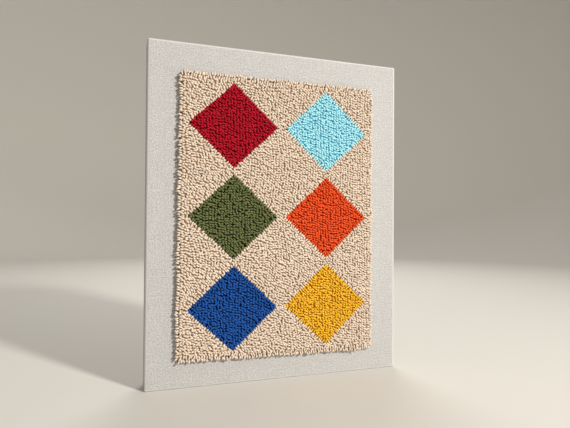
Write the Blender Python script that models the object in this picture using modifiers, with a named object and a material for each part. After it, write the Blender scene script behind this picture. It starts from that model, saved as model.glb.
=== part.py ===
"""A punch needle wall piece: looped yarn pile on plain canvas, pulled over a stretcher frame.

Metres, +Z up. The worked face looks along -Y and +X is to the right of someone who faces it.
The origin is the middle of the bottom edge, halfway through the depth, and the piece stands on z = 0.
"""
import math

import bmesh
import bpy
from mathutils import Vector

PIECE = "punch_needle_wall_piece"

# Driving sizes
FACE_WIDTH = 0.400
FACE_HEIGHT = 0.500
DEPTH = 0.038
GAP = 0.0003            # between pieces that touch

# Cloth
CLOTH = 0.001           # thickness of the canvas
CLOTH_RADIUS = 0.003    # where the cloth turns over an edge of the frame
TURN_IN = 0.030         # width of the edge turned in on the back
ROUND_STEPS = 3         # facets in a rounded edge

# Stretcher bars
BAR_WIDTH = 0.035
BAR_LIP = 0.006         # flat strip that carries the cloth
BAR_FALL = 0.0025       # how far the front slopes back, clear of the cloth
TIP_EASE = 0.0014       # blunting of a bar's outer tips, inside the rounded corner of the cloth

# Looped pile
PILE_HEIGHT = 0.0085
LUMP = 0.0005           # how far the loops' tops rise and fall over the field
RIM_WIDTH = 0.005       # strip along the rim where the outer loops lean over
RIM_DROP = 0.0030       # how much lower the pile is at its very edge
TUFT_PITCH = 0.009      # a lock at the rim is two loops wide
TUFT_DEPTH = 0.0012
TUFT_STEPS = 3
CORNER_RADIUS = 0.006
SLAB_COLUMNS = 22
SLAB_ROWS = 30
SLAB_MARGIN = 0.008     # the sheet of lumps reaches this far past the rim before it is cut
CUT_REACH = 0.010       # how far a cutter passes through

# Slow waves in the loops' tops: length along X and along Z, phase in radians, share
LUMP_WAVES = (
    (0.061, 0.047, 2.1, 0.45),
    (-0.049, 0.083, 0.4, 0.35),
    (0.110, -0.055, 4.0, 0.20),
)

# Wander of the hand-worked edge: waves round the rim, phase in radians, share
WANDER_WAVES = (
    (17, 0.0, 0.35),
    (41, 1.3, 0.30),
)

# The field's corners, as the hand-worked edge lies on the cloth
FIELD_CORNERS = {
    "bottom_left": (-0.1585, 0.0385),
    "bottom_right": (0.1535, 0.0350),
    "top_right": (0.1535, 0.4570),
    "top_left": (-0.1555, 0.4570),
}

# Flat stitches on the back of the cloth
STITCH_THICKNESS = 0.0015
STITCH_INSET = 0.003

# The motifs: plain diamonds in two columns and three rows
MOTIF_HALF_WIDTH = 0.0675
MOTIF_HALF_HEIGHT = 0.0625
COLUMN_PITCH = 0.148
ROW_PITCH = 0.135
GRID_CENTRE = (-0.0015, 0.2470)

# name, column, row from the bottom, colour
MOTIFS = (
    ("red", 0, 2, (0.45, 0.01, 0.03)),
    ("aqua", 1, 2, (0.40, 0.78, 0.82)),
    ("olive", 0, 1, (0.12, 0.14, 0.05)),
    ("orange", 1, 1, (0.80, 0.10, 0.02)),
    ("blue", 0, 0, (0.02, 0.08, 0.32)),
    ("yellow", 1, 0, (0.93, 0.46, 0.03)),
)

CREAM = (0.84, 0.66, 0.48)
CANVAS = (0.70, 0.67, 0.60)
PINE = (0.72, 0.52, 0.30)

# Worked out from the sizes above
FRONT = -DEPTH / 2
INSET = CLOTH + GAP
BAR_DEPTH = DEPTH - 2 * INSET
BAR_RADIUS = CLOTH_RADIUS - INSET
MITRE_SETBACK = GAP / math.sqrt(2)

# name, turn about Y, place of the middle of its outer side, length of that side
BARS = (
    ("bar_bottom", -90, (0, INSET), FACE_WIDTH - 2 * INSET),
    ("bar_top", 90, (0, FACE_HEIGHT - INSET), FACE_WIDTH - 2 * INSET),
    ("bar_left", 0, (INSET - FACE_WIDTH / 2, FACE_HEIGHT / 2), FACE_HEIGHT - 2 * INSET),
    ("bar_right", 180, (FACE_WIDTH / 2 - INSET, FACE_HEIGHT / 2), FACE_HEIGHT - 2 * INSET),
)


def clear_scene():
    """Remove what a new file starts with."""
    for item in list(bpy.data.objects):
        bpy.data.objects.remove(item, do_unlink=True)


def new_collection(name):
    group = bpy.data.collections.new(name)
    bpy.context.scene.collection.children.link(group)
    return group


def new_material(name, color, roughness):
    material = bpy.data.materials.new(name)
    material.use_nodes = True
    shader = material.node_tree.nodes["Principled BSDF"]
    shader.inputs["Base Color"].default_value = (*color, 1)
    shader.inputs["Roughness"].default_value = roughness
    shader.inputs["Metallic"].default_value = 0
    return material


def new_object(name, mesh, group, material=None):
    item = bpy.data.objects.new(name, mesh)
    group.objects.link(item)
    if material:
        mesh.materials.append(material)
    return item


def arc(centre, radius, start, end, steps=ROUND_STEPS):
    """Points on an arc, with the angles in degrees."""
    angles = [math.radians(start + (end - start) * i / steps) for i in range(steps + 1)]
    return [(centre[0] + radius * math.cos(a), centre[1] + radius * math.sin(a)) for a in angles]


def outline_mesh(name, points, thickness):
    """A flat outline in XY, as a filled curve given a thickness along Z, turned into a welded mesh."""
    curve = bpy.data.curves.new(name, "CURVE")
    curve.dimensions = "2D"
    curve.fill_mode = "BOTH"
    curve.extrude = thickness / 2
    spline = curve.splines.new("POLY")
    spline.points.add(len(points) - 1)
    for point, (x, y) in zip(spline.points, points):
        point.co = (x, y, 0, 1)
    spline.use_cyclic_u = True
    holder = bpy.data.objects.new(name, curve)
    bpy.context.scene.collection.objects.link(holder)
    bpy.context.view_layer.update()
    evaluated = holder.evaluated_get(bpy.context.evaluated_depsgraph_get())
    mesh = bpy.data.meshes.new_from_object(evaluated)
    bpy.data.objects.remove(holder)
    shape = bmesh.new()
    shape.from_mesh(mesh)
    bmesh.ops.remove_doubles(shape, verts=shape.verts, dist=1e-6)
    bmesh.ops.recalc_face_normals(shape, faces=shape.faces)
    shape.to_mesh(mesh)
    shape.free()
    return mesh


def stand_up(item, y):
    """Turn an outline drawn in XY to face -Y, with its middle at depth y."""
    item.rotation_euler = (math.radians(90), 0, 0)
    item.location = (0, y, 0)


def bar_profile():
    """Section of a bar: X runs in from its outer side, Y back from its lip."""
    r = BAR_RADIUS
    front_corner = arc((r, r), r, 180, 270)
    back_corner = arc((r, BAR_DEPTH - r), r, 90, 180)
    slope = [(BAR_LIP, 0), (BAR_WIDTH, BAR_FALL), (BAR_WIDTH, BAR_DEPTH)]
    return front_corner + slope + back_corner


def add_bar(name, turn, place, length, group, material):
    """One bar, its ends drawn in along a 45 degree mitre."""
    mesh = outline_mesh(name, bar_profile(), length)
    for vertex in mesh.vertices:
        inset = max(vertex.co.x, TIP_EASE) + MITRE_SETBACK
        vertex.co.z = math.copysign(length / 2 - inset, vertex.co.z)
    bar = new_object(name, mesh, group, material)
    bar.rotation_euler = (0, math.radians(turn), 0)
    bar.location = (place[0], FRONT + INSET, place[1])
    return bar


def add_cloth(group, material):
    """The canvas: a tray over the front and sides, with its edge turned in on the back."""
    shape = bmesh.new()
    bmesh.ops.create_cube(shape, size=1)
    size = Vector((FACE_WIDTH, DEPTH, FACE_HEIGHT))
    bmesh.ops.scale(shape, vec=size, verts=shape.verts)
    bmesh.ops.translate(shape, vec=(0, 0, FACE_HEIGHT / 2), verts=shape.verts)
    back = [face for face in shape.faces if face.normal.y > 0.9]
    bmesh.ops.inset_region(shape, faces=back, thickness=TURN_IN, use_even_offset=True)
    bmesh.ops.delete(shape, geom=back, context="FACES")
    mesh = bpy.data.meshes.new("ground_cloth")
    shape.to_mesh(mesh)
    shape.free()
    cloth = new_object("ground_cloth", mesh, group, material)
    edges = cloth.modifiers.new("rounded edges", "BEVEL")
    edges.width = CLOTH_RADIUS
    edges.segments = ROUND_STEPS
    edges.limit_method = "ANGLE"
    edges.angle_limit = math.radians(60)
    thickness = cloth.modifiers.new("thickness", "SOLIDIFY")
    thickness.thickness = CLOTH
    thickness.offset = -1
    thickness.use_even_offset = True
    return cloth


def rounded_outline(corners, inset=0.0):
    """The field's outline anticlockwise from its bottom left, drawn in by inset, as straight runs and arcs."""
    names = ("bottom_left", "bottom_right", "top_right", "top_left")
    signs = ((1, 1), (-1, 1), (-1, -1), (1, -1))
    points = []
    for index, (name, sign) in enumerate(zip(names, signs)):
        x, z = corners[name]
        step_in = inset + CORNER_RADIUS
        centre = (x + sign[0] * step_in, z + sign[1] * step_in)
        points += arc(centre, CORNER_RADIUS, 180 + 90 * index, 270 + 90 * index)
    return points


def walk(points, pitch):
    """Points an even pitch apart along a closed outline, each with its outward direction."""
    corners = [Vector(point) for point in points]
    sides = list(zip(corners, corners[1:] + corners[:1]))
    total = sum((end - start).length for start, end in sides)
    count = round(total / pitch)
    steps = []
    side, left_behind = 0, 0.0
    for index in range(count):
        distance = total * index / count
        while distance - left_behind > (sides[side][1] - sides[side][0]).length:
            left_behind += (sides[side][1] - sides[side][0]).length
            side += 1
        along = (sides[side][1] - sides[side][0]).normalized()
        steps.append((sides[side][0] + along * (distance - left_behind), Vector((along.y, -along.x))))
    return steps


def tufted_outline():
    """The field's outline with a lock of two loops every pitch and the slow wander of a hand-worked edge."""
    steps = walk(rounded_outline(FIELD_CORNERS), TUFT_PITCH / TUFT_STEPS)
    steps = steps[:len(steps) - len(steps) % TUFT_STEPS]
    points = []
    for index, (place, outward) in enumerate(steps):
        turn = 2 * math.pi * index / len(steps)
        lock = TUFT_DEPTH * abs(math.sin(math.pi * index / TUFT_STEPS))
        wander = TUFT_DEPTH * sum(share * math.sin(waves * turn + phase)
                                  for waves, phase, share in WANDER_WAVES)
        points.append(tuple(place + outward * (lock + wander - TUFT_DEPTH)))
    return points


def grid_lines(cells, low, high):
    """Lines of a sheet's grid: a margin and a rim strip at each end, and even cells between them."""
    start, end = low + RIM_WIDTH, high - RIM_WIDTH
    even_cells = cells - 4
    even_lines = [start + (end - start) * index / even_cells for index in range(even_cells + 1)]
    return [low - SLAB_MARGIN, low, *even_lines, high, high + SLAB_MARGIN]


def pile_height(x, z, edge):
    """Height of the loops' tops over the cloth. The edge is the distance in from the rim."""
    lumps = sum(share * math.sin(2 * math.pi * (x / length_x + z / length_z) + phase)
                for length_x, length_z, phase, share in LUMP_WAVES)
    drop = RIM_DROP * (1 - min(max(edge / RIM_WIDTH, 0), 1))
    return PILE_HEIGHT + LUMP * lumps - drop


def pile_sheet():
    """A closed sheet of lumps, larger than the field, that every pile piece is cut from."""
    low, high = FIELD_CORNERS["bottom_left"], FIELD_CORNERS["top_right"]
    columns = grid_lines(SLAB_COLUMNS, low[0], high[0])
    rows = grid_lines(SLAB_ROWS, low[1], high[1])
    shape = bmesh.new()
    bmesh.ops.create_grid(shape, x_segments=SLAB_COLUMNS, y_segments=SLAB_ROWS, size=1)
    for vertex in shape.verts:
        column = round((vertex.co.x + 1) / 2 * SLAB_COLUMNS)
        row = round((vertex.co.y + 1) / 2 * SLAB_ROWS)
        x, z = columns[column], rows[row]
        edge = min(x - low[0], high[0] - x, z - low[1], high[1] - z)
        vertex.co = (x, FRONT - GAP - pile_height(x, z, edge), z)
    made = bmesh.ops.extrude_face_region(shape, geom=shape.faces[:])
    for vertex in [item for item in made["geom"] if isinstance(item, bmesh.types.BMVert)]:
        vertex.co.y = FRONT - GAP
    bmesh.ops.recalc_face_normals(shape, faces=shape.faces)
    mesh = bpy.data.meshes.new("pile_sheet")
    shape.to_mesh(mesh)
    shape.free()
    return mesh


def diamond(column, row, grow):
    """A motif's outline, with its sides moved out by grow."""
    side = math.hypot(MOTIF_HALF_WIDTH, MOTIF_HALF_HEIGHT)
    half_width = MOTIF_HALF_WIDTH + grow * side / MOTIF_HALF_HEIGHT
    half_height = MOTIF_HALF_HEIGHT + grow * side / MOTIF_HALF_WIDTH
    x = GRID_CENTRE[0] + COLUMN_PITCH * (column - 0.5)
    z = GRID_CENTRE[1] + ROW_PITCH * (row - 1)
    return [(x - half_width, z), (x, z - half_height), (x + half_width, z), (x, z + half_height)]


def add_cutter(name, points, group):
    """A prism through the whole pile, kept only to cut with."""
    cutter = new_object(name, outline_mesh(name, points, 2 * CUT_REACH + PILE_HEIGHT), group)
    stand_up(cutter, FRONT - GAP - PILE_HEIGHT / 2)
    cutter.hide_render = True
    cutter.display_type = "WIRE"
    return cutter


def cut(item, operation, cutter):
    modifier = item.modifiers.new(cutter.name, "BOOLEAN")
    modifier.operation = operation
    modifier.solver = "EXACT"
    modifier.object = cutter


def add_pile(group, cutters, origin):
    """The cream field and the motifs that fill the openings in it."""
    sheet = pile_sheet()
    ground = new_object("pile_ground", sheet.copy(), group, new_material("cream_yarn", CREAM, 0.95))
    cut(ground, "INTERSECT", add_cutter("field_outline", tufted_outline(), cutters))
    ground.parent = origin
    for name, column, row, color in MOTIFS:
        room = add_cutter("room_for_" + name, diamond(column, row, GAP / 2), cutters)
        cut(ground, "DIFFERENCE", room)
        motif = new_object("pile_" + name, sheet.copy(), group, new_material(name + "_yarn", color, 0.95))
        cut(motif, "INTERSECT", add_cutter("outline_of_" + name, diamond(column, row, -GAP / 2), cutters))
        motif.parent = origin
    bpy.data.meshes.remove(sheet)


def add_stitch_side(group, material):
    """The flat stitches behind the cloth, clear of the bars."""
    mesh = outline_mesh("stitch_side", rounded_outline(FIELD_CORNERS, STITCH_INSET), STITCH_THICKNESS)
    stitches = new_object("stitch_side", mesh, group, material)
    stand_up(stitches, FRONT + INSET + STITCH_THICKNESS / 2)
    return stitches


def main():
    clear_scene()
    group = new_collection(PIECE)
    cutters = new_collection("cutters")
    origin = bpy.data.objects.new("bottom_middle", None)
    group.objects.link(origin)
    pine = new_material("pine", PINE, 0.7)
    for name, turn, place, length in BARS:
        add_bar(name, turn, place, length, group, pine).parent = origin
    add_cloth(group, new_material("canvas", CANVAS, 0.95)).parent = origin
    add_stitch_side(group, new_material("stitch_yarn", CREAM, 0.95)).parent = origin
    add_pile(group, cutters, origin)


main()
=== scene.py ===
import math

import bmesh
import bpy
import numpy as np
from bpy.props import FloatProperty, FloatVectorProperty, PointerProperty
from bpy.types import Operator, Panel, PropertyGroup
from mathutils import Matrix, Vector, kdtree


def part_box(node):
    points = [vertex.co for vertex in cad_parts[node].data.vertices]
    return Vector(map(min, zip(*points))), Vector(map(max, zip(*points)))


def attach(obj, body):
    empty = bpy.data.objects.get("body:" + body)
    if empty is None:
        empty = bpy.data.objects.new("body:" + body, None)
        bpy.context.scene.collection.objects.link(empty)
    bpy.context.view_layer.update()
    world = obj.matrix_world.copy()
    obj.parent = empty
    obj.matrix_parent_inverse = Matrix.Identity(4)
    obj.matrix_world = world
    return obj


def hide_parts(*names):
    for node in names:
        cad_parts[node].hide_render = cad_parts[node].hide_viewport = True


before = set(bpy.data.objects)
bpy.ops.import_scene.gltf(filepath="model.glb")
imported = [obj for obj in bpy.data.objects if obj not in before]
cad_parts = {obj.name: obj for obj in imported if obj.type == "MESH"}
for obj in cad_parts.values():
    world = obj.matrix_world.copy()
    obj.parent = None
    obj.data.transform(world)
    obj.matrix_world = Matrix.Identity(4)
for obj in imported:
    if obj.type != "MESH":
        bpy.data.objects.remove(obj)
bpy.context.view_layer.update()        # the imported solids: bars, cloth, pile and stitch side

bl_info = {
    "name": "Punch Needle Wall Piece",
    "version": (1, 0, 0),
    "blender": (4, 5, 0),
    "location": "3D View > Sidebar > Punch Needle",
    "description": "Loops, stitches, canvas and staples for a punched panel on a stretcher frame",
    "category": "Object",
}

MM = 0.001
SEED = 20

# Places taken from the frame
CLOTH_LOW, CLOTH_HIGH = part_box("ground_cloth")
FRONT = CLOTH_LOW.y
BACK = CLOTH_HIGH.y
HALF_WIDTH = CLOTH_HIGH.x
FACE_HEIGHT = CLOTH_HIGH.z
PILE_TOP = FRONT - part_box("pile_ground")[0].y
MOTIF_COLORS = ("red", "aqua", "olive", "orange", "blue", "yellow")
GAP = 0.3 * MM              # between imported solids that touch
STITCH_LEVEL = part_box("stitch_side")[0].y - GAP     # the cloth's back, under the stitches

# How the pile fills
LOOP_ROOM = 3.15 * MM       # a place this far from every loop takes one more
CROWD_ROOM = 4.4 * MM       # loops nearer than this push each other apart
ROOT_SHARE = 0.5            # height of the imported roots, as a share of a loop

# How the canvas turns
CLOTH_BEND = 3.6 * MM       # over the edges of the bars
CORNER_RADIUS = 1.6 * MM    # round the corners of the face


def linear(hex_color):
    """An sRGB hex colour as linear red, green and blue."""
    channels = [int(hex_color[i:i + 2], 16) / 255 for i in (1, 3, 5)]
    return tuple(c / 12.92 if c <= 0.04045 else ((c + 0.055) / 1.055) ** 2.4 for c in channels)


def color_setting(name, hex_color, description):
    return FloatVectorProperty(name=name, description=description, subtype="COLOR", size=3,
                               min=0, max=1, default=linear(hex_color))


def length_setting(name, default, description):
    return FloatProperty(name=name, description=description, unit="LENGTH", min=0, precision=4,
                         default=default)


class YarnSettings(PropertyGroup):
    """The yarn and how it is punched."""
    diameter: length_setting("Yarn diameter", 2.65 * MM, "Thickness of the plied yarn at the top of a loop")
    row_spacing: length_setting("Row spacing", 4.4 * MM, "Distance from one row of loops to the next")
    stitch: length_setting("Stitch length", 3.7 * MM, "Distance from one loop to the next in a row")
    height: length_setting("Loop height", PILE_TOP - GAP, "Height of a loop over the canvas")
    arch: length_setting("Arch", 1.75 * MM, "Half the width of a loop, from its middle to its leg")
    twist: FloatProperty(name="Loop twist",
                         description="Turn of a loop from its row, by the yarn's own twist",
                         subtype="ANGLE", default=math.radians(61))
    twist_spread: FloatProperty(name="Twist spread",
                                description="How much the turn differs from loop to loop",
                                subtype="ANGLE", default=math.radians(13))
    cream: color_setting("Cream", "#EDDBC8", "Ground yarn")
    red: color_setting("Red", "#B70B28", "Yarn of the red diamond")
    aqua: color_setting("Aqua", "#B2F0FF", "Yarn of the aqua diamond")
    olive: color_setting("Olive", "#6A7146", "Yarn of the olive diamond")
    orange: color_setting("Orange", "#EC5825", "Yarn of the orange diamond")
    blue: color_setting("Blue", "#1B55A5", "Yarn of the blue diamond")
    yellow: color_setting("Yellow", "#F5C032", "Yarn of the yellow diamond")


class ClothSettings(PropertyGroup):
    """The plain canvas and how it is stretched."""
    color: color_setting("Canvas", "#C0BFBE", "Unbleached cotton and linen canvas")
    thread: length_setting("Thread spacing", 1.0 * MM, "Distance from one thread to the next")
    sag: length_setting("Sag", 0.5 * MM, "How far the canvas dips between the lip of the bars and the pile")
    turn_in: length_setting("Turn-in", 30 * MM, "Width of the canvas folded over on the back")
    staple_pitch: length_setting("Staple pitch", 48 * MM, "Distance from one staple to the next")


class StageSettings(PropertyGroup):
    """Floor, lights and camera."""
    floor: color_setting("Floor", "#E0DDD6", "Pale studio floor and backdrop")
    key_power: FloatProperty(name="Key light", description="Power of the key light, in watts", default=37)
    back_power: FloatProperty(name="Back light", description="Power of the soft light behind, in watts",
                              default=20)
    fill: FloatProperty(name="Fill light", description="Strength of the even light all round", default=0.33)


class WallPieceSettings(PropertyGroup):
    """All the settings of the wall piece."""
    yarn: PointerProperty(type=YarnSettings)
    cloth: PointerProperty(type=ClothSettings)
    stage: PointerProperty(type=StageSettings)


def settings():
    return bpy.context.scene.wall_piece


# Materials

def add_node(tree, kind, inputs=None, **own):
    """Add a shader node with its own settings, and set or link its inputs by name or number. A node
    given as an input links its first output."""
    node = tree.nodes.new("ShaderNode" + kind)
    for name, value in own.items():
        setattr(node, name, value)
    for name, value in (inputs or {}).items():
        if isinstance(value, bpy.types.Node):
            value = value.outputs[0]
        if isinstance(value, bpy.types.NodeSocket):
            tree.links.new(value, node.inputs[name])
        else:
            node.inputs[name].default_value = value
    return node


def start_material(name, roughness):
    """A material with its tree and its shader, ready for colour and bump."""
    material = bpy.data.materials.new(name)
    material.use_nodes = True
    shader = material.node_tree.nodes["Principled BSDF"]
    shader.inputs["Roughness"].default_value = roughness
    return material, material.node_tree, shader


def plied_yarn(name, color):
    """Soft spun yarn of three plies, twisted to the right. The eye sees small slanted ridges with painted
    shade in the creases between the plies, a downy sheen along the loops' edges, and painted shade, a
    darker, fuller colour, low down between the loops."""
    material, tree, shader = start_material(name + "_plied_yarn", 0.88)
    uv = add_node(tree, "UVMap", uv_map="yarn")
    split = add_node(tree, "SeparateXYZ", {0: uv})
    # U runs along the yarn in millimetres and V once round it. One turn of a ply takes 6 mm.
    turns = add_node(tree, "Math", {0: split, 1: 1 / 6}, operation="MULTIPLY")
    round_yarn = add_node(tree, "Math", {0: split.outputs[1], 1: 1.0, 2: turns}, operation="MULTIPLY_ADD")
    # Half a wave is one ply, so that plies are round and the lines between them sharp
    ply_angle = add_node(tree, "Math", {0: round_yarn, 1: 3 * math.pi}, operation="MULTIPLY")
    wave = add_node(tree, "Math", {0: ply_angle}, operation="SINE")
    ply = add_node(tree, "Math", {0: wave}, operation="ABSOLUTE")
    place = add_node(tree, "TexCoord")
    # Fibres are a few hundredths of a millimetre, drawn here 0.5 mm apart so that they show
    fibre = add_node(tree, "TexNoise", {"Vector": place.outputs["Object"], "Scale": 2000.0, "Detail": 2.0})
    height = add_node(tree, "Math", {0: fibre, 1: 0.7, 2: ply}, operation="MULTIPLY_ADD")
    bump = add_node(tree, "Bump", {"Height": height, "Strength": 0.8, "Distance": 0.35 * MM})
    shade = add_node(tree, "Attribute", attribute_name="shade")
    depth = add_node(tree, "Attribute", attribute_name="depth")
    # Painted shade: where the depth attribute is low the yarn is mixed towards this darker, fuller colour,
    # as if shaded down between the loops
    painted_shade_color = tuple(c * (0.05 + 0.68 * c) for c in color)
    pale = tuple(min(1, c * (1.33 - 0.30 * c) + 0.006) for c in color)
    downy = tuple((1 + c) / 2 for c in pale)
    dull = tuple(c * 0.90 for c in color)
    # Painted shade in the creases between the plies, where the ply wave is low
    painted_crease_shade = tuple(c * (0.56 + 0.34 * c) for c in color)
    loops = add_node(tree, "Mix", {0: shade.outputs["Fac"], 6: (*dull, 1), 7: (*pale, 1)}, data_type="RGBA")
    rounded = add_node(tree, "Math", {0: ply, 1: 0.5}, operation="POWER")
    plied = add_node(tree, "Mix", {0: rounded, 6: (*painted_crease_shade, 1), 7: loops.outputs[2]}, data_type="RGBA")
    mixed = add_node(tree, "Mix", {0: depth.outputs["Fac"], 6: (*painted_shade_color, 1), 7: plied.outputs[2]},
                     data_type="RGBA")
    tree.links.new(mixed.outputs[2], shader.inputs["Base Color"])
    tree.links.new(bump.outputs[0], shader.inputs["Normal"])
    shader.inputs["Sheen Weight"].default_value = 0.08
    shader.inputs["Sheen Roughness"].default_value = 0.5
    shader.inputs["Sheen Tint"].default_value = (*downy, 1)
    shader.inputs["Specular IOR Level"].default_value = 0.12
    return material


def woven_canvas(name, color, thread):
    """Plain-woven cotton and linen canvas, unbleached. The eye sees an even grain of small squares, broken
    by a few thick slubs, with faint warm and grey threads, and a painted highlight, a paler line on the
    bend where the canvas is pulled over the edge of the bars."""
    material, tree, shader = start_material(name, 0.92)
    uv = add_node(tree, "UVMap", uv_map="threads")
    split = add_node(tree, "SeparateXYZ", {0: uv})
    # U and V are the cloth's own flat coordinates in millimetres, so half a wave is one thread
    across = [add_node(tree, "Math", {0: split.outputs[i], 1: math.pi * MM / thread},
                       operation="MULTIPLY") for i in (0, 1)]
    waves = [add_node(tree, "Math", {0: node}, operation="SINE") for node in across]
    over = add_node(tree, "Math", {0: waves[0], 1: waves[1]}, operation="MULTIPLY")
    over = add_node(tree, "Math", {0: over}, operation="ABSOLUTE")
    # Slubs run along each set of threads, 25 mm long and 1.2 mm wide
    slubs = []
    for stretch in ((0.04, 0.8, 1.0), (0.8, 0.04, 1.0)):
        drawn = add_node(tree, "Mapping", {"Vector": uv, "Scale": stretch})
        slubs.append(add_node(tree, "TexNoise", {"Vector": drawn, "Scale": 1.0, "Detail": 2.0}))
    slub = add_node(tree, "Math", {0: slubs[0], 1: slubs[1]}, operation="MAXIMUM")
    mottle = add_node(tree, "TexNoise", {"Vector": uv, "Scale": 0.57, "Detail": 1.5, "Roughness": 0.7})
    height = add_node(tree, "Math", {0: slub, 1: 1.6, 2: over}, operation="MULTIPLY_ADD")
    height = add_node(tree, "Math", {0: mottle, 1: 0.8, 2: height}, operation="MULTIPLY_ADD")
    bump = add_node(tree, "Bump", {"Height": height, "Strength": 0.6, "Distance": 0.3 * MM})
    flecks = add_node(tree, "Math", {0: slub, 1: 0.35, 2: mottle}, operation="MULTIPLY_ADD")
    tone = add_node(tree, "MapRange", {"Value": flecks, "From Min": 0.52, "From Max": 0.86,
                                                 "To Min": 0.0, "To Max": 1.0})
    shadow = tuple(c * 0.74 for c in color)
    light = tuple(min(1, c * 1.24) for c in color)
    # Painted highlight along the bend over the edge of the bars, where the fold attribute is set
    painted_fold_highlight = tuple(min(1, c * 1.35) for c in color)
    threads = add_node(tree, "Mix", {0: tone, 6: (*shadow, 1), 7: (*light, 1)}, data_type="RGBA")
    fold = add_node(tree, "Attribute", attribute_name="fold")
    cloth = add_node(tree, "Mix", {0: fold.outputs["Fac"], 6: threads.outputs[2], 7: (*painted_fold_highlight, 1)},
                     data_type="RGBA")
    tree.links.new(cloth.outputs[2], shader.inputs["Base Color"])
    tree.links.new(bump.outputs[0], shader.inputs["Normal"])
    shader.inputs["Sheen Weight"].default_value = 0.1
    shader.inputs["Specular IOR Level"].default_value = 0.25
    return material


def planed_pine(name, along):
    """Planed pine, unfinished. The eye sees straight straw-coloured grain along the bar, with
    browner late wood every 3 mm and a dry surface."""
    material, tree, shader = start_material(name, 0.62)
    place = add_node(tree, "TexCoord")
    # Grain is drawn 60 times longer along the bar than across it
    scale = [330.0, 330.0, 330.0]
    scale["XYZ".index(along)] = 5.5
    drawn = add_node(tree, "Mapping", {"Vector": place.outputs["Object"], "Scale": tuple(scale)})
    rings = add_node(tree, "TexNoise", {"Vector": drawn, "Scale": 1.0, "Detail": 3.0, "Distortion": 0.4})
    ramp = add_node(tree, "ValToRGB", {0: rings})
    stops = ramp.color_ramp.elements
    stops[0].position, stops[0].color = 0.30, (*linear("#EDD6AE"), 1)
    stops[1].position, stops[1].color = 0.72, (*linear("#D0A873"), 1)
    fine = [value * 6 for value in scale]
    pores = add_node(tree, "Mapping", {"Vector": place.outputs["Object"], "Scale": tuple(fine)})
    pores = add_node(tree, "TexNoise", {"Vector": pores, "Scale": 1.0})
    bump = add_node(tree, "Bump", {"Height": pores, "Strength": 0.25, "Distance": 0.2 * MM})
    tree.links.new(ramp.outputs[0], shader.inputs["Base Color"])
    tree.links.new(bump.outputs[0], shader.inputs["Normal"])
    return material


def galvanised_wire(name):
    """Zinc-coated steel wire, flattened. The eye sees dull grey metal with a soft shine."""
    material, tree, shader = start_material(name, 0.38)
    place = add_node(tree, "TexCoord")
    coat = add_node(tree, "TexNoise", {"Vector": place.outputs["Object"], "Scale": 900.0})
    zinc = add_node(tree, "Mix", {0: coat, 6: (*linear("#8C8F92"), 1),
                                            7: (*linear("#C3C6C8"), 1)}, data_type="RGBA")
    tree.links.new(zinc.outputs[2], shader.inputs["Base Color"])
    shader.inputs["Metallic"].default_value = 1.0
    return material


def studio_paper(name, color):
    """Matt background paper. The eye sees one even pale tone."""
    material, _, shader = start_material(name, 0.95)
    shader.inputs["Base Color"].default_value = (*color, 1)
    return material


# Meshes

def piece_from_mesh(name, mesh, material, slot, *nodes):
    """Put a finished mesh in the scene on the one body with its finish, and hide the imported nodes it
    stands for.
    """
    piece = bpy.data.objects.new(name, mesh)
    bpy.context.scene.collection.objects.link(piece)
    mesh.materials.append(material)
    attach(piece, "root")
    if nodes:
        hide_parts(*nodes)
    return piece


def mesh_from_arrays(name, points, faces, uv_name=None, uv=None, values=None):
    """A smooth mesh from an array of points and a list of face arrays, one for each number of corners.
    The uv array has a row for each face corner, and values maps an attribute to one number a point."""
    mesh = bpy.data.meshes.new(name)
    mesh.vertices.add(len(points))
    mesh.vertices.foreach_set("co", np.asarray(points, np.float32).ravel())
    corners = np.concatenate([f.ravel() for f in faces])
    sizes = np.concatenate([np.full(len(f), f.shape[1]) for f in faces])
    mesh.loops.add(len(corners))
    mesh.loops.foreach_set("vertex_index", corners.astype(np.int32))
    mesh.polygons.add(len(sizes))
    mesh.polygons.foreach_set("loop_start", (np.cumsum(sizes) - sizes).astype(np.int32))
    if uv is not None:
        mesh.uv_layers.new(name=uv_name).uv.foreach_set("vector", np.asarray(uv, np.float32).ravel())
    for attribute, numbers in (values or {}).items():
        layer = mesh.attributes.new(attribute, "FLOAT", "POINT")
        layer.data.foreach_set("value", numbers.astype(np.float32))
    mesh.update(calc_edges=True)
    mesh.validate()
    mesh.shade_smooth()
    return mesh


def unit(vectors):
    return vectors / np.maximum(np.linalg.norm(vectors, axis=-1, keepdims=True), 1e-12)


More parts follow.
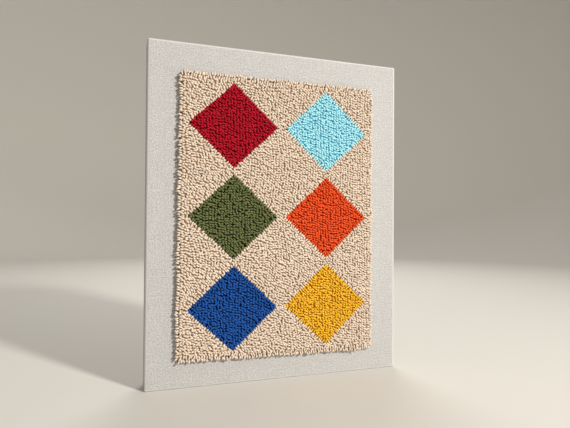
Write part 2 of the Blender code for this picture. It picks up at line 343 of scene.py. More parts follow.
def strands(name, paths, sides_of_yarn, radii, across, shade, depth, flat=1.0):
    """Many short lengths of yarn as one mesh. Paths is strands by steps by 3, radii strands by steps,
    and across one direction a strand that its path doesn't run along. Flat squeezes the section."""
    count, steps = paths.shape[:2]
    along = unit(np.gradient(paths, axis=1))
    out = unit(np.cross(along, across[:, None, :]))
    side = np.cross(out, along)
    angles = np.arange(sides_of_yarn) * 2 * math.pi / sides_of_yarn
    ring = (side[:, :, None] * np.cos(angles)[None, None, :, None]
            + out[:, :, None] * (flat * np.sin(angles))[None, None, :, None])
    points = paths[:, :, None] + ring * radii[:, :, None, None]
    index = np.arange(count * steps * sides_of_yarn).reshape(count, steps, sides_of_yarn)
    following = np.roll(index, -1, axis=2)
    quads = np.stack([index[:, :-1], index[:, 1:], following[:, 1:], following[:, :-1]], -1).reshape(-1, 4)
    caps = np.concatenate([index[:, 0], index[:, -1, ::-1]])
    run = np.concatenate([np.zeros((count, 1)),
                          np.cumsum(np.linalg.norm(np.diff(paths, axis=1), axis=2), axis=1)], axis=1) / MM
    turn = np.arange(sides_of_yarn) / sides_of_yarn
    u_low = np.broadcast_to(run[:, :-1, None], (count, steps - 1, sides_of_yarn))
    u_high = np.broadcast_to(run[:, 1:, None], (count, steps - 1, sides_of_yarn))
    v_low = np.broadcast_to(turn, (count, steps - 1, sides_of_yarn))
    v_high = v_low + 1 / sides_of_yarn
    quad_uv = np.stack([np.stack([u_low, v_low], -1), np.stack([u_high, v_low], -1),
                        np.stack([u_high, v_high], -1), np.stack([u_low, v_high], -1)], 3).reshape(-1, 2)
    cap_uv = np.zeros((caps.size, 2))
    spread = [np.repeat(value.ravel(), sides_of_yarn) for value in (shade, depth)]
    return mesh_from_arrays(name, points.reshape(-1, 3), [quads, caps], "yarn",
                            np.concatenate([quad_uv, cap_uv]), {"shade": spread[0], "depth": spread[1]})


# Outlines and rows

def outlines_of(node):
    """The closed outlines of a pile solid where it meets the canvas, longest first, as (x, z) arrays."""
    shape = bmesh.new()
    shape.from_mesh(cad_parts[node].data)
    bmesh.ops.remove_doubles(shape, verts=shape.verts, dist=1e-6)
    level = max(v.co.y for v in shape.verts) - 0.01 * MM
    on_cloth = {f for f in shape.faces if all(v.co.y > level for v in f.verts)}
    follows = {}
    for face in on_cloth:
        for corner in face.loops:
            if sum(f in on_cloth for f in corner.edge.link_faces) == 1:
                follows[corner.vert] = corner.link_loop_next.vert
    outlines = []
    while follows:
        # The lowest corner comes first, so that every run starts each row at the same place
        start = min(follows, key=lambda vert: (round(vert.co.z / MM, 2), round(vert.co.x / MM, 2)))
        points = []
        while start in follows:
            points.append((start.co.x, start.co.z))
            start = follows.pop(start)
        outlines.append(np.array(points))
    shape.free()
    return sorted(outlines, key=perimeter, reverse=True)


def perimeter(outline):
    return np.linalg.norm(np.roll(outline, -1, axis=0) - outline, axis=1).sum()


def inside(points, outline):
    """Which points lie inside a closed outline."""
    start, end = outline, np.roll(outline, -1, axis=0)
    x, z = points[:, :1], points[:, 1:]
    crosses = (start[:, 1] > z) != (end[:, 1] > z)
    rise = np.where(end[:, 1] == start[:, 1], 1e-12, end[:, 1] - start[:, 1])
    where = start[:, 0] + (z - start[:, 1]) * (end[:, 0] - start[:, 0]) / rise
    return (crosses & (x < where)).sum(1) % 2 == 1


def nearest(points, outline):
    """Distance from each point to a closed outline, and the nearest place on it."""
    start = outline
    side = np.roll(outline, -1, axis=0) - outline
    away = points[:, None] - start[None]
    share = np.clip((away * side).sum(2) / np.maximum((side ** 2).sum(1), 1e-18), 0, 1)
    place = start[None] + share[..., None] * side[None]
    distance = np.linalg.norm(points[:, None] - place, axis=2)
    best = distance.argmin(1)
    rows = np.arange(len(points))
    return distance[rows, best], place[rows, best]


def even_steps(outline, pitch):
    """Places an even pitch apart along a closed outline."""
    closed = np.vstack([outline, outline[:1]])
    run = np.concatenate([[0], np.cumsum(np.linalg.norm(np.diff(closed, axis=0), axis=1))])
    count = max(1, round(run[-1] / pitch))
    stops = np.arange(0, run[-1], run[-1] / count)[:count]
    return np.stack([np.interp(stops, run, closed[:, i]) for i in (0, 1)], 1)


def smooth(outline, passes):
    for _ in range(passes):
        outline = (np.roll(outline, 1, axis=0) + 2 * outline + np.roll(outline, -1, axis=0)) / 4
    return outline


def row_beside(outline, offset, inward, pitch):
    """A row of places that follows an outline at an offset, on its inner or outer side."""
    fine = smooth(even_steps(outline, 0.8 * MM), 12)
    along = unit(np.roll(fine, -1, axis=0) - np.roll(fine, 1, axis=0))
    normal = np.stack([-along[:, 1], along[:, 0]], 1)
    probe = fine + normal * 0.5 * MM
    turned_in = np.where(inside(probe, fine), 1.0, -1.0)[:, None]
    moved = fine + normal * turned_in * (offset if inward else -offset)
    kept = moved[nearest(moved, fine)[0] > offset - 0.3 * MM]
    return even_steps(kept, pitch)


def uneven(places, length, rng):
    """A smooth wandering number for each place, about -1 to 1, that changes over a length."""
    total = np.zeros(len(places))
    for _ in range(7):
        angle, phase, stretch = rng.uniform(0, 2 * math.pi, 2).tolist() + [rng.uniform(0.6, 1.6)]
        along = places @ np.array([math.cos(angle), math.sin(angle)])
        total += np.sin(2 * math.pi * along / (length * stretch) + phase)
    return total / 2.6


def fill_rows(area, holes, margins, spacing, pitch, bow, rng):
    """Upright rows that fill an area, clear of its edges by the margins, each a run of places. Bow is
    how far a row wanders to the side, most at the left of the area, as rows worked by hand do."""
    low, high = area.min(0), area.max(0)
    rows = []
    for x in np.arange(low[0] - bow, high[0] + bow, spacing):
        z = np.arange(low[1] + rng.uniform(0, pitch), high[1], pitch)
        wander = bow * np.clip((high[0] - x) / (high[0] - low[0]), 0, 1) * np.sin(z / (23 * MM))
        row = np.stack([x + wander, z], 1)
        fits = inside(row, area) & (nearest(row, area)[0] > margins[0])
        for hole in holes:
            fits &= ~inside(row, hole) & (nearest(row, hole)[0] > margins[1])
        cuts = np.flatnonzero(~fits)
        for run in np.split(np.arange(len(row)), cuts):
            run = run[fits[run]]
            if len(run):
                # Every other row is worked back down
                rows.append(row[run] if len(rows) % 2 else row[run][::-1])
    return rows


def spread_out(places, rooms, passes):
    """Push places apart where they crowd, a little at a time, as loops do when the pile fills."""
    for _ in range(passes):
        tree = kdtree.KDTree(len(places))
        for index, (x, z) in enumerate(places):
            tree.insert((x, z, 0), index)
        tree.balance()
        shift = np.zeros_like(places)
        for index, (x, z) in enumerate(places):
            for other, near, distance in tree.find_range((x, z, 0), rooms):
                if near != index and distance > 1e-9:
                    push = (rooms - distance) / distance * 0.22
                    shift[index] += (places[index] - places[near]) * push
        places = places + shift
    return places


def fill_gaps(places, areas, room, rng):
    """Extra places wherever there is room for a loop between the rows, each with its area's name."""
    tree = kdtree.KDTree(len(places) + 4000)
    for index, (x, z) in enumerate(places):
        tree.insert((x, z, 0), index)
    tree.balance()
    extra, names = [], []
    for name, outline, holes, margin in areas:
        low, high = outline.min(0), outline.max(0)
        tries = rng.uniform(low, high, (int(3e6 * (high - low).prod()), 2))
        clear = np.array([tree.find((x, z, 0))[2] > room for x, z in tries])
        tries = tries[clear]
        fits = inside(tries, outline) & (nearest(tries, outline)[0] > margin)
        for hole in holes:
            fits &= ~inside(tries, hole) & (nearest(tries, hole)[0] > margin)
        for place in tries[fits]:
            if all(np.hypot(*(place - other)) > room for other in extra):
                extra.append(place)
                names.append(name)
    return np.array(extra).reshape(-1, 2), names


class Worked:
    """Every loop of the panel: its place, its row's direction, its colour and its row."""

    def __init__(self, yarn, rng):
        ground = outlines_of("pile_ground")
        self.field, holes = ground[0], ground[1:]
        self.motifs = {color: outlines_of("pile_" + color)[0] for color in MOTIF_COLORS}
        rows = []
        step, gap = yarn.stitch, yarn.row_spacing
        for k in (0, 1):
            rows.append(("cream", True, row_beside(self.field, (k + 0.55) * gap, True, step)))
        for hole in holes:
            rows.append(("cream", True, row_beside(hole, gap / 2, False, step)))
        for row in fill_rows(self.field, holes, (2.3 * gap, 1.25 * gap), gap, step, 8 * MM, rng):
            rows.append(("cream", False, row))
        for color, outline in self.motifs.items():
            rows.append((color, True, row_beside(outline, gap / 2, True, step)))
            for row in fill_rows(outline, [], (1.25 * gap, 0), gap, step, 2 * MM, rng):
                rows.append((color, False, row))
        self.place = np.concatenate([row for _, _, row in rows])
        self.color = np.concatenate([[color] * len(row) for color, _, row in rows])
        self.contour = np.concatenate([[contour] * len(row) for _, contour, row in rows])
        self.row = np.concatenate([np.full(len(row), i) for i, (_, _, row) in enumerate(rows)])
        self.after = self.next_loops(rows)
        areas = [("cream", self.field, holes, gap / 2)]
        areas += [(color, outline, [], gap / 2) for color, outline in self.motifs.items()]
        extra, names = fill_gaps(self.place, areas, LOOP_ROOM, rng)
        self.along = self.row_directions()
        if len(extra):
            self.place = np.vstack([self.place, extra])
            self.color = np.concatenate([self.color, names])
            self.contour = np.concatenate([self.contour, np.zeros(len(extra), bool)])
            self.row = np.concatenate([self.row, -1 - np.arange(len(extra))])
            self.after = np.concatenate([self.after, np.arange(len(self.after), len(self.place))])
            self.along = np.vstack([self.along, np.tile((0.0, 1.0), (len(extra), 1))])
        self.place = spread_out(self.place, CROWD_ROOM, 6)
        self.place += rng.normal(0, 0.25 * MM, self.place.shape)
        self.edge, rim = nearest(self.place, self.field)
        self.outward = unit(rim - self.place)

    def next_loops(self, rows):
        """The loop that the yarn goes to from each one: along its row, round again along an edge, and
        from the end of one row to the start of the next."""
        after = np.arange(1, sum(len(row) for _, _, row in rows) + 1)
        first = 0
        for _, contour, row in rows:
            last = first + len(row) - 1
            if contour:
                after[last] = first
            first = last + 1
        after[-1] = last
        return after

    def row_directions(self):
        same = (self.row == np.roll(self.row, 1))[:, None]
        same_after = (self.row == np.roll(self.row, -1))[:, None]
        start = np.where(same, np.roll(self.place, 1, axis=0), self.place)
        end = np.where(same_after, np.roll(self.place, -1, axis=0), self.place)
        run = end - start
        run[np.linalg.norm(run, axis=1) < 1e-6] = (0, 1)
        return unit(run)


worked = {}


def worked_panel():
    """The rows are laid out once and used by the pile and by the stitch side."""
    if not worked:
        rng = np.random.default_rng(SEED)
        worked["panel"] = Worked(settings().yarn, rng)
    return worked["panel"]


# A loop's line: place along the row in half widths, and height as a share of the loop.
# The two legs rise from one hole in the canvas, swell out and turn over at the top.
LOOP_LINE = (
    (-0.25, 0.00, 0.80), (-0.60, 0.38, 0.88), (-1.00, 0.66, 1.00), (-0.72, 0.90, 1.04),
    (0.00, 1.00, 1.06),
    (0.72, 0.90, 1.04), (1.00, 0.66, 1.00), (0.60, 0.38, 0.88), (0.25, 0.00, 0.80),
)


def loop_mesh(name, panel, chosen, yarn, rng, whole):
    """The chosen loops as one mesh. Only loops at the rim show their legs, so the others start
    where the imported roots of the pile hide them."""
    line = np.array(LOOP_LINE if whole else LOOP_LINE[1:-1])
    count = len(chosen)
    radius = yarn.diameter / 2
    drift = np.random.default_rng(SEED + 7)
    place = panel.place[chosen]
    height = yarn.height - radius * 1.06 + rng.normal(0, 0.30 * MM, count)
    height += 0.35 * MM * uneven(place, 22 * MM, drift)
    half_width = yarn.arch + rng.normal(0, 0.22 * MM, count)
    # Loops of a row along an edge turn square to the edge, the others by the yarn's own twist
    free_turn = yarn.twist + 0.25 * uneven(place, 38 * MM, drift)
    twist = np.where(panel.contour[chosen], math.radians(85), free_turn)
    twist = twist + rng.normal(0, yarn.twist_spread, count)
    flopped = rng.random(count) < 0.06
    twist[flopped] = rng.uniform(-math.pi / 2, math.pi / 2, flopped.sum())
    along = panel.along[chosen]
    turned = np.stack([along[:, 0] * np.cos(twist) - along[:, 1] * np.sin(twist),
                       along[:, 0] * np.sin(twist) + along[:, 1] * np.cos(twist)], 1)
    lean = rng.normal(0, 0.55 * MM, (count, 2))
    first_row = np.clip(1.6 - panel.edge[chosen] / yarn.row_spacing, 0, 1)[:, None]
    lean += panel.outward[chosen] * first_row * rng.normal(1.1 * MM, 0.6 * MM, (count, 1))
    height -= first_row[:, 0] * 0.5 * MM
    share = line[:, 1]
    offset = line[None, :, 0, None] * half_width[:, None, None] * turned[:, None]
    offset = offset + lean[:, None] * (share[None, :, None] ** 1.5)
    side = np.stack([-turned[:, 1], turned[:, 0]], 1)
    curl = rng.normal(0, 0.35 * MM, count)
    offset = offset + side[:, None] * (curl[:, None] * line[None, :, 0])[..., None]
    flat_place = place[:, None] + offset
    paths = np.stack([flat_place[..., 0],
                      FRONT - share[None] * height[:, None],
                      flat_place[..., 1]], -1)
    across = np.stack([side[:, 0], np.zeros(count), side[:, 1]], 1)
    radii = radius * line[None, :, 2] * (1 + rng.normal(0, 0.05, (count, 1)))
    shade = np.broadcast_to(np.clip(rng.normal(0.55, 0.25, (count, 1)), 0, 1), radii.shape)
    # Painted shade mask: 0 low on the legs, 1 near the top; the yarn is darker where it is low
    depth = np.broadcast_to(np.clip((share - 0.30) / 0.55, 0, 1), radii.shape)
    return strands(name, paths, 6, radii, across, shade, depth)


def roots_mesh(name, area, holes, height, inset):
    """The roots of the pile, where the legs stand packed: a low slab hidden under the loops. It has no
    depth attribute, so its yarn takes the full painted shade colour: partly the real packed legs, partly a
    dark sheet for the shade down between the loops.
    """
    shape = bmesh.new()
    rim = row_beside(area, inset, True, 4 * MM)
    for outline in [rim] + holes:
        verts = [shape.verts.new((x, FRONT - height, z)) for x, z in outline]
        for index, vert in enumerate(verts):
            shape.edges.new((vert, verts[index - 1]))
    bmesh.ops.triangle_fill(shape, use_beauty=True, use_dissolve=False, edges=shape.edges[:])
    made = bmesh.ops.extrude_face_region(shape, geom=shape.faces[:])
    for item in made["geom"]:
        if isinstance(item, bmesh.types.BMVert):
            item.co.y = FRONT - 0.1 * MM
    bmesh.ops.recalc_face_normals(shape, faces=shape.faces)
    mesh = bpy.data.meshes.new(name)
    shape.to_mesh(mesh)
    shape.free()
    return mesh


class WALLPIECE_OT_pile(Operator):
    """Punch the loops of every colour, with their packed roots"""
    bl_idname = "wall_piece.pile"
    bl_label = "Punched Pile"

    def execute(self, context):
        yarn = settings().yarn
        rng = np.random.default_rng(SEED + 1)
        panel = worked_panel()
        at_rim = panel.edge < 1.9 * yarn.row_spacing
        cream = plied_yarn("cream", tuple(yarn.cream))
        ground = panel.color == "cream"
        thirds = np.quantile(panel.place[ground & ~at_rim][:, 1], (1 / 3, 2 / 3))
        level = np.searchsorted(thirds, panel.place[:, 1])
        for index, part in enumerate(("low", "middle", "high")):
            chosen = np.flatnonzero(ground & ~at_rim & (level == index))
            mesh = loop_mesh("cream_loops_" + part, panel, chosen, yarn, rng, False)
            piece_from_mesh("cream_loops_" + part, mesh, cream, "yarn_cream", "pile_ground")
        rim = np.flatnonzero(ground & at_rim)
        mesh = loop_mesh("cream_loops_rim", panel, rim, yarn, rng, True)
        piece_from_mesh("cream_loops_rim", mesh, cream, "yarn_cream", "pile_ground")
        holes = list(panel.motifs.values())
        # The cream roots show the yarn's painted shade colour in full
        roots = roots_mesh("cream_roots", panel.field, holes, ROOT_SHARE * yarn.height, 4.4 * MM)
        piece_from_mesh("cream_roots", roots, cream, "yarn_cream", "pile_ground")
        for color, outline in panel.motifs.items():
            finish = plied_yarn(color, tuple(getattr(yarn, color)))
            chosen = np.flatnonzero(panel.color == color)
            mesh = loop_mesh(color + "_loops", panel, chosen, yarn, rng, False)
            piece_from_mesh(color + "_loops", mesh, finish, "yarn_" + color, "pile_" + color)
            # The motif roots show the yarn's painted shade colour in full
            roots = roots_mesh(color + "_roots", outline, [], ROOT_SHARE * yarn.height, 0.2 * MM)
            piece_from_mesh(color + "_roots", roots, finish, "yarn_" + color, "pile_" + color)
        return {"FINISHED"}


class WALLPIECE_OT_stitches(Operator):
    """Lay the flat running stitches of the stitch side, from each hole to the next in its row"""
    bl_idname = "wall_piece.stitches"
    bl_label = "Stitch Side"

    def execute(self, context):
        yarn = settings().yarn
        rng = np.random.default_rng(SEED + 2)
        panel = worked_panel()
        start, end = panel.place.copy(), panel.place[panel.after]
        # A loop added between the rows has a short stitch of its own
        alone = panel.row < 0
        half_stitch = panel.along[alone] * yarn.stitch / 2
        start[alone], end[alone] = panel.place[alone] - half_stitch, panel.place[alone] + half_stitch
        length = np.linalg.norm(end - start, axis=1)
        same_yarn = panel.color == panel.color[panel.after]
        same_yarn &= panel.contour == panel.contour[panel.after]
        joined = same_yarn & (length > 0) & (length < 2 * yarn.stitch)
        for color in ("cream",) + MOTIF_COLORS:
            chosen = np.flatnonzero(joined & (panel.color == color))
            count = len(chosen)
            # share of the way along, height over the canvas in millimetres, thickness
            line = np.array([(0.0, -0.05, 1.15), (0.28, 0.5, 1.42), (0.72, 0.5, 1.42), (1.0, -0.05, 1.15)])
            way = line[None, :, 0, None]
            flat = start[chosen][:, None] * (1 - way) + end[chosen][:, None] * way
            run = unit(end[chosen] - start[chosen])
            side = np.stack([-run[:, 1], run[:, 0]], 1)
            bow = rng.normal(0, 0.22 * MM, (count, 1)) * np.array([0, 1, 1, 0])
            flat = flat + side[:, None] * bow[..., None]
            rise = np.broadcast_to(STITCH_LEVEL + line[:, 1] * MM, (count, 4))
            paths = np.stack([flat[..., 0], rise, flat[..., 1]], -1)
            across = np.stack([side[:, 0], np.zeros(count), side[:, 1]], 1)
            radii = yarn.diameter / 2 * line[None, :, 2] * (1 + rng.normal(0, 0.06, (count, 1)))
            shade = np.broadcast_to(np.clip(rng.normal(0.5, 0.22, (count, 1)), 0, 1), radii.shape)
            # A little painted shade: the stitches are mixed one tenth of the way towards the yarn's darker
            # shade colour
            depth = np.full(radii.shape, 0.9)
            mesh = strands(color + "_stitches", paths, 5, radii, across, shade, depth, flat=0.48)
            finish = bpy.data.materials[color + "_plied_yarn"]
            piece_from_mesh(color + "_stitches", mesh, finish, "yarn_" + color, "stitch_side")
        return {"FINISHED"}


def ring_of_cloth(inset, depth, step):
    """One ring of the stretched canvas: a rectangle with rounded corners, its own side for each point."""
    radius = CORNER_RADIUS
    half = (HALF_WIDTH - inset, FACE_HEIGHT / 2 - inset)
    points, sides = [], []
    corner_steps = 4
    counts = (round(2 * HALF_WIDTH / step), round(FACE_HEIGHT / step))
    for side in range(4):
        turn = side * math.pi / 2
        run, reach = (half[0], half[1]) if side % 2 == 0 else (half[1], half[0])
        count = counts[side % 2]
        line = [(-run + radius + 2 * (run - radius) * i / count, -reach) for i in range(count + 1)]
        bend = [(run - radius + radius * math.sin(a), -reach + radius - radius * math.cos(a))
                for a in (math.pi / 2 * i / corner_steps for i in range(1, corner_steps))]
        for x, z in line + bend:
            points.append((x * math.cos(turn) - z * math.sin(turn), depth,
                           x * math.sin(turn) + z * math.cos(turn) + FACE_HEIGHT / 2))
        own_bend = corner_steps // 2
        sides += [side] * (count + 1 + own_bend) + [(side + 1) % 4] * (corner_steps - 1 - own_bend)
    return points, sides


class WALLPIECE_OT_canvas(Operator):
    """Stretch the canvas over the bars and fold its edge over on the back"""
    bl_idname = "wall_piece.canvas"
    bl_label = "Stretched Canvas"

    def execute(self, context):
        cloth = settings().cloth
        bend = CLOTH_BEND
        finish = woven_canvas("unbleached_woven_canvas", tuple(cloth.color), cloth.thread)
        depth = BACK - FRONT
        # Rings from the middle of the face outwards: inset, depth, run past the edge
        rings = []
        for inset in [*np.linspace(90, bend / MM + 1.2, 14), bend / MM]:
            rings.append((inset * MM, 0.0, -inset * MM))
        first_bend = len(rings) - 1
        for k in range(1, 6):
            a = math.pi / 2 * k / 5
            y = bend * (1 - math.cos(a))
            rings.append((bend * (1 - math.sin(a)), y, bend * math.sin(a) - bend + y))
        for k in range(1, 8):
            y = bend + (depth - 2 * bend) * k / 8
            rings.append((0.0, y, y))
        for k in range(6):
            a = math.pi / 2 * k / 5
            y = depth - bend * (1 - math.sin(a))
            rings.append((bend * (1 - math.cos(a)), y, y))
        for inset in np.linspace(bend / MM, cloth.turn_in / MM, 8)[1:]:
            rings.append((inset * MM, depth, depth + inset * MM))
        rng = np.random.default_rng(SEED + 3)
        points = []
        for number, (inset, y, _) in enumerate(rings):
            ring, sides = ring_of_cloth(inset, FRONT + y, 10 * MM)
            ring = np.array(ring)
            along = np.where(np.array(sides) % 2 == 0, ring[:, 0], ring[:, 2])
            if y == 0 and inset > 6 * MM:
                dip = math.sin(min(1.0, (inset - 6 * MM) / (34 * MM)) * math.pi)
                pull = 1 + 0.5 * np.sin(2 * math.pi * along / cloth.staple_pitch)
                ring[:, 1] += cloth.sag * dip * pull
            if number == len(rings) - 1:
                fray = rng.normal(0, 0.35 * MM, len(ring))
                ring[:, 0] += fray
                ring[:, 2] += fray
            points.append(ring)
        count = len(points[0])
        index = np.arange(len(rings) * count).reshape(len(rings), count)
        following = np.roll(index, -1, axis=1)
        quads = np.stack([index[:-1], index[1:], following[1:], following[:-1]], -1).reshape(-1, 4)
        middle = index[0][None]
        points = np.concatenate(points)
        uv = self.thread_places(rings, points, quads, middle, count, sides)
        # Painted highlight: rings round the front bend, on all four sides, are mixed towards a paler canvas
        fold = np.zeros((len(rings), count))
        fold[first_bend + 1:first_bend + 5] = 0.85
        mesh = mesh_from_arrays("stretched_canvas", points, [quads, middle], "threads", uv,
                                {"fold": fold.ravel()})
        sheet = piece_from_mesh("stretched_canvas", mesh, finish, "canvas_cloth", "ground_cloth")
        thick = sheet.modifiers.new("thickness", "SOLIDIFY")
        thick.thickness = STITCH_LEVEL - FRONT
        thick.offset = -1
        folds = self.corner_folds(finish, cloth.turn_in)
        return {"FINISHED"}

    def corner_folds(self, finish, turn_in):
        """The pleats at the corners: a wedge on each end of the top side, and the lap of the turn-in
        along each mitre on the back. Those under the bottom side are pressed flat and left plain."""
        shape = bmesh.new()
        threads = shape.loops.layers.uv.new("threads")
        top, near, far = FACE_HEIGHT, FRONT + 4.5 * MM, BACK - CLOTH_BEND
        for side in (-1, 1):
            edge = side * (HALF_WIDTH - CLOTH_BEND)
            wedge = [(edge, near, top), (edge, far, top), (edge - side * 25 * MM, far, top)]
            self.flap(shape, threads, wedge, Vector((0, 0, 0.7 * MM)), side < 0, (0, 1))
            for end in (-1, 1):
                middle = FACE_HEIGHT / 2
                corner = Vector((side * (HALF_WIDTH - 3 * MM), BACK, middle + end * (middle - 3 * MM)))
                inner = Vector((side * (HALF_WIDTH - turn_in), BACK, middle + end * (middle - turn_in)))
                lap = Vector((-side * 13 * MM, 0, 0))
                flap = [corner, inner, inner + lap, corner + lap * 0.35]
                self.flap(shape, threads, flap, Vector((0, 0.6 * MM, 0)), side * end < 0, (0, 2))
        mesh = bpy.data.meshes.new("corner_folds")
        shape.to_mesh(mesh)
        shape.free()
        mesh.shade_smooth()
        folds = piece_from_mesh("corner_folds", mesh, finish, "canvas_cloth")
        round_edges = folds.modifiers.new("soft edges", "BEVEL")
        round_edges.width = 0.3 * MM
        round_edges.segments = 3
        return folds

    def flap(self, shape, threads, outline, rise, flip, flat_axes):
        """A lap of cloth: its outline on the surface below, raised to its thickness."""
        low = [shape.verts.new(Vector(point) - rise * 0.5) for point in outline]
        high = [shape.verts.new(Vector(point) + rise) for point in outline]
        faces = [shape.faces.new(high), shape.faces.new(low[::-1])]
        for index in range(len(outline)):
            faces.append(shape.faces.new((low[index - 1], low[index], high[index], high[index - 1])))
        if flip:
            bmesh.ops.reverse_faces(shape, faces=faces)
        for face in faces:
            face.smooth = True
            for corner in face.loops:
                corner[threads].uv = [corner.vert.co[axis] / MM for axis in flat_axes]

    def thread_places(self, rings, points, quads, middle, count, sides):
        """The flat place of each face corner on the canvas before it was stretched, in millimetres."""
        sides = np.array(sides)
        runs = np.array([run for _, _, run in rings])
        ring_number = quads // count
        side = sides[np.minimum(quads % count, np.roll(quads, 1, axis=1) % count).min(1)][:, None]
        run = runs[ring_number]
        x, z = points[quads][..., 0], points[quads][..., 2] - FACE_HEIGHT / 2
        half = np.where(side % 2 == 0, FACE_HEIGHT / 2, HALF_WIDTH) + run
        past = run > -CLOTH_BEND - 0.1 * MM
        sign = np.where((side == 0) | (side == 3), -1, 1)
        u = np.where(past & (side % 2 == 1), sign * half, x)
        v = np.where(past & (side % 2 == 0), sign * half, z)
        quad_uv = np.stack([u, v], -1).reshape(-1, 2) / MM
        face = points[middle[0]]
        face_uv = np.stack([face[:, 0], face[:, 2] - FACE_HEIGHT / 2], 1) / MM
        return np.concatenate([quad_uv, face_uv])


class WALLPIECE_OT_staples(Operator):
    """Drive wire staples through the folded canvas into the bars"""
    bl_idname = "wall_piece.staples"
    bl_label = "Staples"

    def execute(self, context):
        pitch = settings().cloth.staple_pitch
        crown, wire, thick = 11 * MM, 1.2 * MM, 0.6 * MM
        inset = 17 * MM
        shape = bmesh.new()
        places = []
        half_height = FACE_HEIGHT / 2
        for run, reach, turned in ((HALF_WIDTH, half_height, False), (half_height, HALF_WIDTH, True)):
            first = run - 30 * MM
            count = round(2 * first / pitch)
            for k in range(count + 1):
                for sign in (-1, 1):
                    along = first * (2 * k / count - 1)
                    place = (along, sign * (reach - inset))
                    places.append((place[::-1] if turned else place, turned))
        rng = np.random.default_rng(SEED + 4)
        for (x, z), turned in places:
            turn = (math.pi / 2 if turned else 0) + rng.normal(0, 0.12)
            matrix = (Matrix.Translation((x, BACK + thick / 2, z + FACE_HEIGHT / 2))
                      @ Matrix.Rotation(turn, 4, "Y") @ Matrix.Diagonal((crown, thick, wire, 1)))
            made = bmesh.ops.create_cube(shape, size=1, matrix=matrix)
            edges = dict.fromkeys(e for v in made["verts"] for e in v.link_edges)
            bmesh.ops.bevel(shape, geom=list(edges), offset=0.25 * MM, segments=2, affect="EDGES")
        mesh = bpy.data.meshes.new("wire_staples")
        shape.to_mesh(mesh)
        shape.free()
        mesh.shade_smooth()
        staples = bpy.data.objects.new("wire_staples", mesh)
        bpy.context.scene.collection.objects.link(staples)
        mesh.materials.append(galvanised_wire("galvanised_wire"))
        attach(staples, "root")
        return {"FINISHED"}


class WALLPIECE_OT_bars(Operator):
    """Give the four stretcher bars their planed pine, with the grain along each bar"""
    bl_idname = "wall_piece.bars"
    bl_label = "Stretcher Bars"

    def execute(self, context):
        level, upright = planed_pine("planed_pine_level", "X"), planed_pine("planed_pine_upright", "Z")
        for node, finish in (("bar_top", level), ("bar_bottom", level),
                             ("bar_left", upright), ("bar_right", upright)):
            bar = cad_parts[node]
            for holder in bar.material_slots:
                holder.material = finish
        return {"FINISHED"}


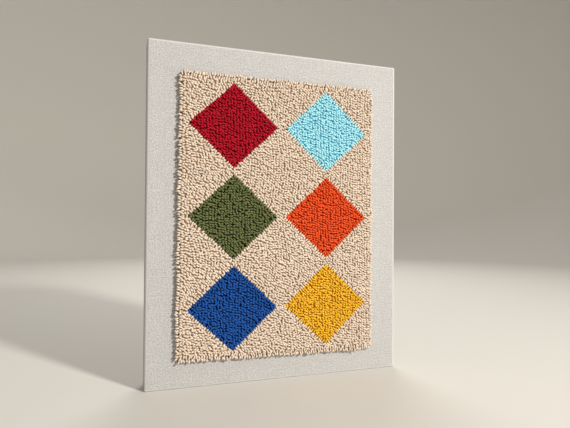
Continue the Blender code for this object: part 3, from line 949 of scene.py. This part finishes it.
class WALLPIECE_OT_stage(Operator):
    """Set the pale floor and backdrop, the studio lights and the camera"""
    bl_idname = "wall_piece.stage"
    bl_label = "Studio"

    def execute(self, context):
        stage = settings().stage
        self.backdrop(tuple(stage.floor))
        scene = bpy.context.scene
        scene.view_settings.view_transform = "Standard"
        world = bpy.data.worlds.new("even_light")
        world.use_nodes = True
        light = world.node_tree.nodes["Background"]
        light.inputs["Color"].default_value = (1.0, 0.98, 0.955, 1)
        light.inputs["Strength"].default_value = stage.fill
        scene.world = world
        centre = Vector((0, FRONT, FACE_HEIGHT / 2))
        # From the upper right in front: the pile's shadow falls 0.62 of its height left, 0.50 down.
        # A grid on the lamp keeps its light off the floor just below it.
        towards = Vector((0.62, -1.0, 0.50)).normalized()
        key = self.lamp("key", centre + towards * 3.2, centre, 0.4, stage.key_power, (1.0, 0.965, 0.91))
        key.data.spread = math.radians(110)
        # From above behind, for the edges of the frame and for the back
        behind = Vector((0.35, 1.0, 0.95)).normalized()
        self.lamp("back", centre + behind * 2.2, centre, 1.4, stage.back_power, (1.0, 0.98, 0.95))
        self.camera()
        return {"FINISHED"}

    def backdrop(self, color):
        """Floor and backdrop in one: a wide sheet of paper that curves up all round."""
        flat, bend, top, segments = 2.5, 0.9, 2.6, 96
        profile = [(0.0, 0.0), (flat / 2, 0.0), (flat, 0.0)]
        for k in range(1, 17):
            a = math.pi / 2 * k / 16
            profile.append((flat + bend * math.sin(a), bend * (1 - math.cos(a))))
        profile.append((flat + bend, top))
        shape = bmesh.new()
        line = [shape.verts.new((0, y, z)) for y, z in profile]
        edges = [shape.edges.new(pair) for pair in zip(line, line[1:])]
        bmesh.ops.spin(shape, geom=line + edges, angle=2 * math.pi, steps=segments, axis=(0, 0, 1),
                       cent=(0, 0, 0))
        bmesh.ops.remove_doubles(shape, verts=shape.verts, dist=1e-5)
        bmesh.ops.recalc_face_normals(shape, faces=shape.faces)
        mesh = bpy.data.meshes.new("backdrop")
        shape.to_mesh(mesh)
        shape.free()
        mesh.shade_smooth()
        paper = bpy.data.objects.new("backdrop", mesh)
        bpy.context.scene.collection.objects.link(paper)
        mesh.materials.append(studio_paper("background_paper", color))

    def lamp(self, name, place, target, size, power, color):
        data = bpy.data.lights.new(name, "AREA")
        data.shape = "DISK"
        data.size = size
        data.energy = power
        data.color = color
        lamp = bpy.data.objects.new(name, data)
        lamp.location = place
        lamp.rotation_euler = (target - place).to_track_quat("-Z", "Y").to_euler()
        bpy.context.scene.collection.objects.link(lamp)
        return lamp

    def camera(self):
        """A wide lens just past the left side and level with the middle, as in the photograph."""
        azimuth, rise, roll = math.radians(18.84), math.radians(0.78), math.radians(0.38)
        place = Vector((-0.234, FRONT - 0.705, 0.242))
        level = Vector((math.sin(azimuth), math.cos(azimuth), 0))
        forward = level * math.cos(rise) + Vector((0, 0, math.sin(rise)))
        right = forward.cross(Vector((0, 0, 1))).normalized()
        up = right.cross(forward)
        right, up = (right * math.cos(roll) + up * math.sin(roll),
                     up * math.cos(roll) - right * math.sin(roll))
        data = bpy.data.cameras.new("camera")
        data.sensor_width = 36
        data.lens = 30.5
        camera = bpy.data.objects.new("camera", data)
        camera.matrix_world = Matrix((
            (right.x, up.x, -forward.x, place.x),
            (right.y, up.y, -forward.y, place.y),
            (right.z, up.z, -forward.z, place.z),
            (0, 0, 0, 1)))
        bpy.context.scene.collection.objects.link(camera)
        bpy.context.scene.camera = camera


class WALLPIECE_PT_panel(Panel):
    """Settings and steps of the wall piece"""
    bl_idname = "WALLPIECE_PT_panel"
    bl_label = "Punch Needle Wall Piece"
    bl_space_type = "VIEW_3D"
    bl_region_type = "UI"
    bl_category = "Punch Needle"

    def draw(self, context):
        values = context.scene.wall_piece
        for group in (values.yarn, values.cloth, values.stage):
            box = self.layout.box()
            for name in group.bl_rna.properties.keys():
                if name not in ("rna_type", "name"):
                    box.prop(group, name)
        for step in STEPS:
            self.layout.operator(step.bl_idname)


STEPS = (
    WALLPIECE_OT_stage,
    WALLPIECE_OT_bars,
    WALLPIECE_OT_canvas,
    WALLPIECE_OT_pile,
    WALLPIECE_OT_stitches,
    WALLPIECE_OT_staples,
)
CLASSES = (YarnSettings, ClothSettings, StageSettings, WallPieceSettings) + STEPS + (WALLPIECE_PT_panel,)


def register():
    for item in CLASSES:
        bpy.utils.register_class(item)
    bpy.types.Scene.wall_piece = PointerProperty(type=WallPieceSettings)


def unregister():
    del bpy.types.Scene.wall_piece
    for item in reversed(CLASSES):
        bpy.utils.unregister_class(item)


def main():
    register()
    for step in STEPS:
        group, name = step.bl_idname.split(".")
        getattr(getattr(bpy.ops, group), name)()


if __name__ == "__main__":
    main()
